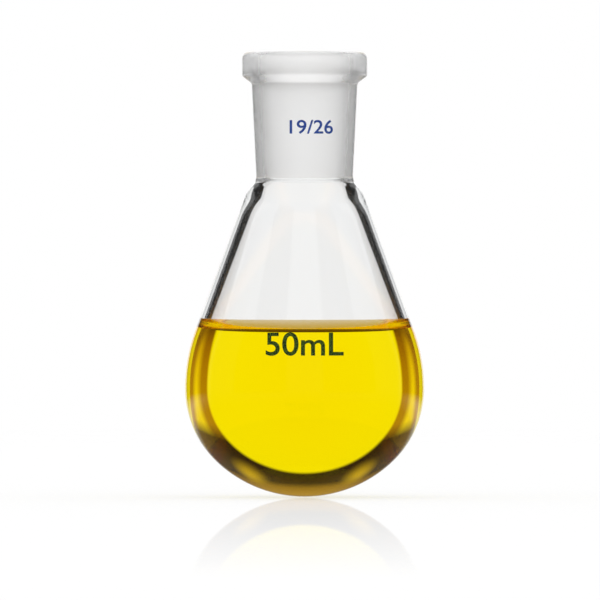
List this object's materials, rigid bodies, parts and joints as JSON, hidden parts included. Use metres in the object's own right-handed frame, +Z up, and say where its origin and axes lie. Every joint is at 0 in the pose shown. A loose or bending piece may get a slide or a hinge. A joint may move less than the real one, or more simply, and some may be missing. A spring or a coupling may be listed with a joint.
{
  "type": "pear-shaped evaporating flask",
  "caption": "Small pear-shaped laboratory flask with a round bottom, a conical shoulder and a thick-rimmed ground taper socket, part filled with a clear yellow liquid.",
  "frame": {"origin": "lowest point of the round bottom, on the flask's axis", "axes": "+Z up the axis of the flask, out of the mouth; X and Y are alike, and the printed marks face -Y"},
  "size_m": [0.049, 0.049, 0.091],
  "materials": {
    "clear_glass": "gloss",
    "ground_glass": "matte",
    "yellow_liquid": "gloss"
  },
  "bodies": {
    "root": {"bulb": "clear_glass", "ground_socket": "ground_glass", "liquid": "yellow_liquid"}
  },
  "joints": []
}
